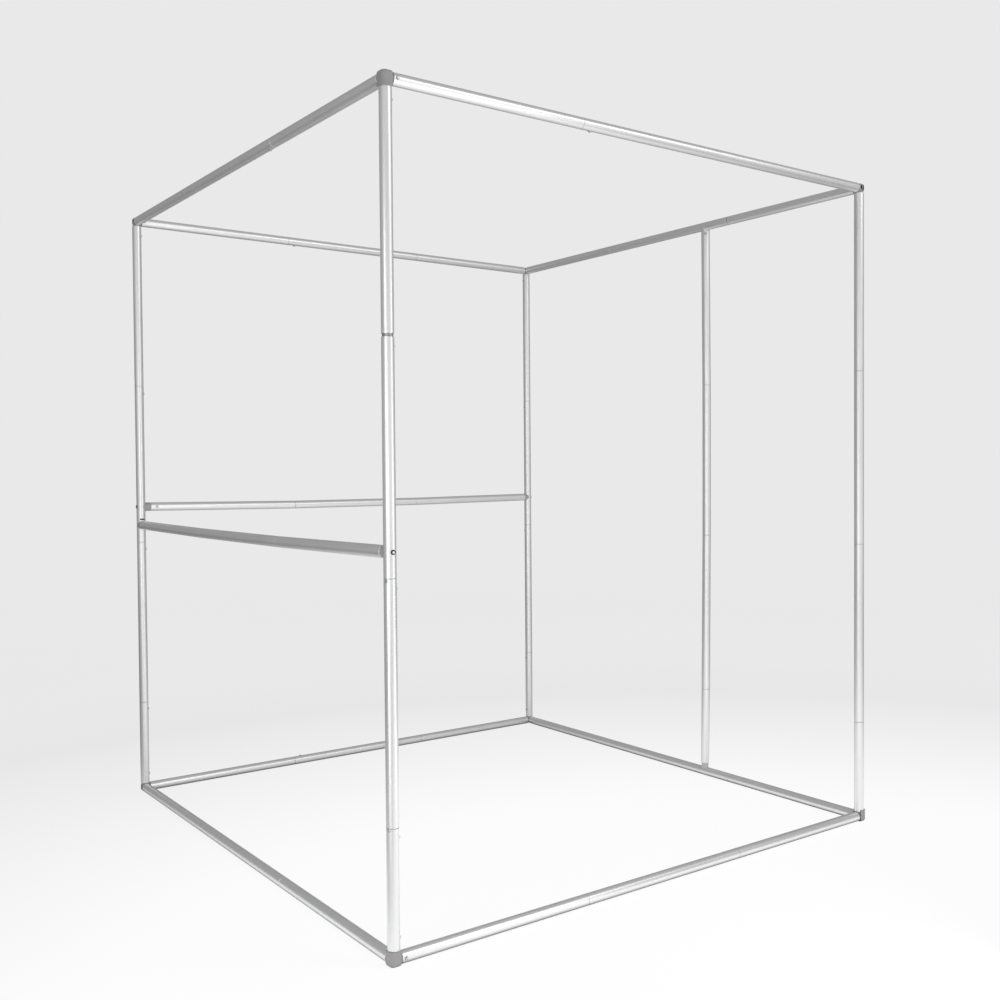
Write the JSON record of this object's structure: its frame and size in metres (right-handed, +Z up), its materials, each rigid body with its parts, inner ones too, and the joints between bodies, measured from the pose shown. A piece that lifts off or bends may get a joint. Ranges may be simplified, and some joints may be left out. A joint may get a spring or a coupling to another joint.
{
  "type": "printer_enclosure_tent_frame",
  "caption": "Cubic free-standing frame of sectional aluminium tube with spring-button joints, for a 3-D printer enclosure tent; open front, mid rails on the left and rear, stud on the right",
  "frame": {"origin": "On the floor under the middle of the four posts", "axes": "+X from the front left post to the front right post, +Y from the open front to the rear, +Z up along the posts"},
  "size_m": [0.9431, 0.9452, 1.083],
  "materials": {
    "tube_aluminium": "satin drawn and anodised tube, faint lengthwise lines",
    "sleeve_aluminium": "plain drawn inner sleeve",
    "rivet_aluminium": "plain domed rivet",
    "spring_steel_button": "satin domed button on its leaf",
    "spring_steel_clip": "spring strip",
    "grey_nylon": "moulded, fine matte texture",
    "grey_boot": "soft matte cap",
    "fitting_grey": "moulded, matte",
    "screw_steel": "plain machine screw",
    "washer_black": "moulded black cup washer"
  },
  "bodies": {
    "frame": {"bottom_bar_front": "tube_aluminium", "bottom_bar_left": "tube_aluminium", "bottom_bar_rear": "tube_aluminium", "bottom_bar_right": "tube_aluminium", "connector_front_left_bottom": "grey_nylon", "connector_front_left_top": "grey_nylon", "connector_front_right_bottom": "grey_nylon", "connector_front_right_top": "grey_nylon", "connector_rear_left_bottom": "grey_nylon", "connector_rear_left_top": "grey_nylon", "connector_rear_right_bottom": "grey_nylon", "connector_rear_right_top": "grey_nylon", "joint_sleeves": "sleeve_aluminium", "mid_rail_left": "tube_aluminium", "mid_rail_rear": "tube_aluminium", "post_front_left_foot": "tube_aluminium", "post_front_left_lower": "tube_aluminium", "post_front_left_middle": "tube_aluminium", "post_front_left_upper": "tube_aluminium", "post_front_right_foot": "tube_aluminium", "post_front_right_lower": "tube_aluminium", "post_front_right_middle": "tube_aluminium", "post_front_right_upper": "tube_aluminium", "post_rear_left_foot": "tube_aluminium", "post_rear_left_lower": "tube_aluminium", "post_rear_left_middle": "tube_aluminium", "post_rear_left_upper": "tube_aluminium", "post_rear_right_foot": "tube_aluminium", "post_rear_right_lower": "tube_aluminium", "post_rear_right_middle": "tube_aluminium", "post_rear_right_upper": "tube_aluminium", "rail_end_fittings": "fitting_grey", "rail_screw_washers": "washer_black", "rail_screws": "screw_steel", "sleeve_rivets": "rivet_aluminium", "spring_clips": "spring_steel_clip", "stud_foot_saddle": "fitting_grey", "stud_top_plug": "fitting_grey", "stud_tube": "tube_aluminium", "top_bar_front": "tube_aluminium", "top_bar_left": "tube_aluminium", "top_bar_rear": "tube_aluminium", "top_bar_right": "tube_aluminium"},
    "bar_buttons_facing_front": {"bar_buttons_facing_front": "spring_steel_button"},
    "bar_buttons_facing_rear": {"bar_buttons_facing_rear": "spring_steel_button"},
    "bar_buttons_facing_up": {"bar_buttons_facing_up": "spring_steel_button"},
    "bar_buttons_facing_down": {"bar_buttons_facing_down": "spring_steel_button"},
    "left_bar_buttons_facing_right": {"left_bar_buttons_facing_right": "spring_steel_button"},
    "right_bar_buttons_facing_right": {"right_bar_buttons_facing_right": "spring_steel_button"},
    "left_rail_buttons": {"left_rail_buttons": "spring_steel_button"},
    "rear_rail_joint_buttons": {"rear_rail_joint_buttons": "spring_steel_button"},
    "stud_top_button": {"stud_top_button": "spring_steel_button"},
    "stud_joint_buttons": {"stud_joint_buttons": "spring_steel_button"},
    "post_front_left_buttons": {"post_front_left_buttons": "spring_steel_button"},
    "post_front_right_buttons": {"post_front_right_buttons": "spring_steel_button"},
    "post_rear_left_buttons": {"post_rear_left_buttons": "spring_steel_button"},
    "post_rear_right_buttons": {"post_rear_right_buttons": "spring_steel_button"},
    "corner_boot_front_left_top": {"corner_boot_front_left_top": "grey_boot"},
    "corner_boot_front_left_bottom": {"corner_boot_front_left_bottom": "grey_boot"},
    "corner_boot_front_right_bottom": {"corner_boot_front_right_bottom": "grey_boot"}
  },
  "joints": [
    {"name": "press_bar_buttons_facing_front", "type": "slide", "parent": "frame", "child": "bar_buttons_facing_front", "axis": [0, 1, 0], "range_m": [0, 0.003], "stiffness_N_per_m": 800, "springref_m": -0.002},
    {"name": "press_bar_buttons_facing_rear", "type": "slide", "parent": "frame", "child": "bar_buttons_facing_rear", "axis": [0, -1, 0], "range_m": [0, 0.003], "stiffness_N_per_m": 800, "springref_m": -0.002},
    {"name": "press_bar_buttons_facing_up", "type": "slide", "parent": "frame", "child": "bar_buttons_facing_up", "axis": [0, 0, -1], "range_m": [0, 0.003], "stiffness_N_per_m": 800, "springref_m": -0.002},
    {"name": "press_bar_buttons_facing_down", "type": "slide", "parent": "frame", "child": "bar_buttons_facing_down", "axis": [0, 0, 1], "range_m": [0, 0.003], "stiffness_N_per_m": 800, "springref_m": -0.002},
    {"name": "press_left_bar_buttons_facing_right", "type": "slide", "parent": "frame", "child": "left_bar_buttons_facing_right", "axis": [-1, 0, 0], "range_m": [0, 0.003], "stiffness_N_per_m": 800, "springref_m": -0.002},
    {"name": "press_right_bar_buttons_facing_right", "type": "slide", "parent": "frame", "child": "right_bar_buttons_facing_right", "axis": [-1, 0, 0], "range_m": [0, 0.003], "stiffness_N_per_m": 800, "springref_m": -0.002},
    {"name": "press_left_rail_buttons", "type": "slide", "parent": "frame", "child": "left_rail_buttons", "axis": [-1, 0, 0], "range_m": [0, 0.003], "stiffness_N_per_m": 800, "springref_m": -0.002},
    {"name": "press_rear_rail_joint_buttons", "type": "slide", "parent": "frame", "child": "rear_rail_joint_buttons", "axis": [0, -1, 0], "range_m": [0, 0.003], "stiffness_N_per_m": 800, "springref_m": -0.002},
    {"name": "press_stud_top_button", "type": "slide", "parent": "frame", "child": "stud_top_button", "axis": [0.7071, 0.7071, 0], "range_m": [0, 0.003], "stiffness_N_per_m": 800, "springref_m": -0.002},
    {"name": "press_stud_joint_buttons", "type": "slide", "parent": "frame", "child": "stud_joint_buttons", "axis": [-1, 0, 0], "range_m": [0, 0.003], "stiffness_N_per_m": 800, "springref_m": -0.002},
    {"name": "press_post_front_left_buttons", "type": "slide", "parent": "frame", "child": "post_front_left_buttons", "axis": [-1, 0, 0], "range_m": [0, 0.003], "stiffness_N_per_m": 800, "springref_m": -0.002},
    {"name": "press_post_front_right_buttons", "type": "slide", "parent": "frame", "child": "post_front_right_buttons", "axis": [-1, 0, 0], "range_m": [0, 0.003], "stiffness_N_per_m": 800, "springref_m": -0.002},
    {"name": "press_post_rear_left_buttons", "type": "slide", "parent": "frame", "child": "post_rear_left_buttons", "axis": [-1, 0, 0], "range_m": [0, 0.003], "stiffness_N_per_m": 800, "springref_m": -0.002},
    {"name": "press_post_rear_right_buttons", "type": "slide", "parent": "frame", "child": "post_rear_right_buttons", "axis": [1, 0, 0], "range_m": [0, 0.003], "stiffness_N_per_m": 800, "springref_m": -0.002},
    {"name": "pull_corner_boot_front_left_top", "type": "slide", "parent": "frame", "child": "corner_boot_front_left_top", "axis": [-0.7071, -0.7071, 0], "range_m": [0, 0.012]},
    {"name": "pull_corner_boot_front_left_bottom", "type": "slide", "parent": "frame", "child": "corner_boot_front_left_bottom", "axis": [-0.7071, -0.7071, 0], "range_m": [0, 0.012]},
    {"name": "pull_corner_boot_front_right_bottom", "type": "slide", "parent": "frame", "child": "corner_boot_front_right_bottom", "axis": [0.7071, -0.7071, 0], "range_m": [0, 0.012]}
  ]
}
